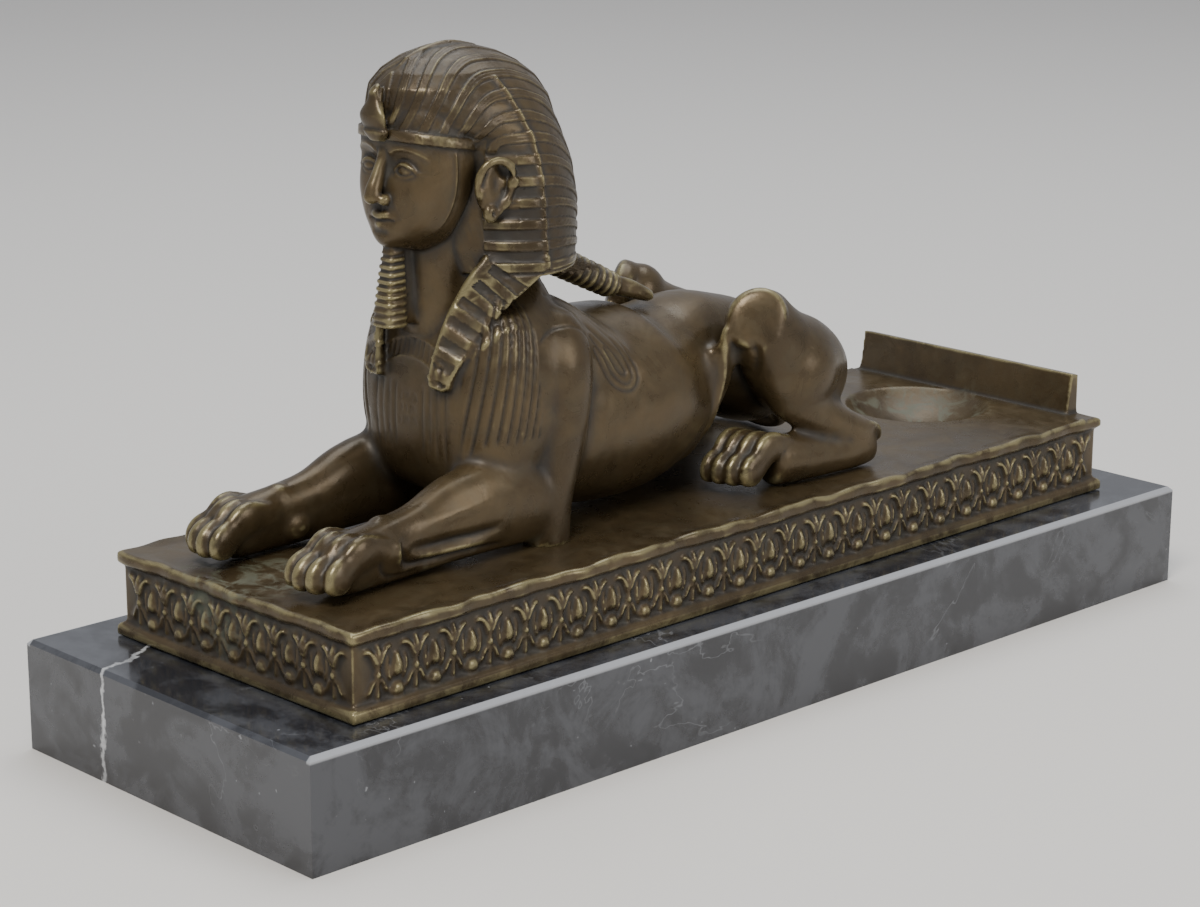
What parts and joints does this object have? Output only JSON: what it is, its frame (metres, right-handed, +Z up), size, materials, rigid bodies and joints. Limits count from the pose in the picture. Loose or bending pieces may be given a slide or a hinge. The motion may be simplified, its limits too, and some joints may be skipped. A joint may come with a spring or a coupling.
{
  "type": "sphinx statue",
  "caption": "Recumbent bronze sphinx with striped headcloth and false beard on a bronze plinth with a lotus band, dish and raised rear wall, seated on a polished dark marble base.",
  "frame": {"origin": "centre of the marble base's underside, where the statue stands", "axes": "+Z up, the sphinx looks along -Y, its left flank is at +X"},
  "size_m": [0.115, 0.33, 0.1782],
  "materials": {
    "marble": "polished dark grey marble with cloudy and white veins",
    "plinth_bronze": "brown patinated bronze, worn bright on the rim, green in the recesses",
    "figure_bronze": "brown patinated bronze, semi-gloss, worn bright on the edges"
  },
  "bodies": {
    "root": {"marble_base": "marble", "bronze_plinth": "plinth_bronze", "sphinx_figure": "figure_bronze"}
  },
  "joints": []
}
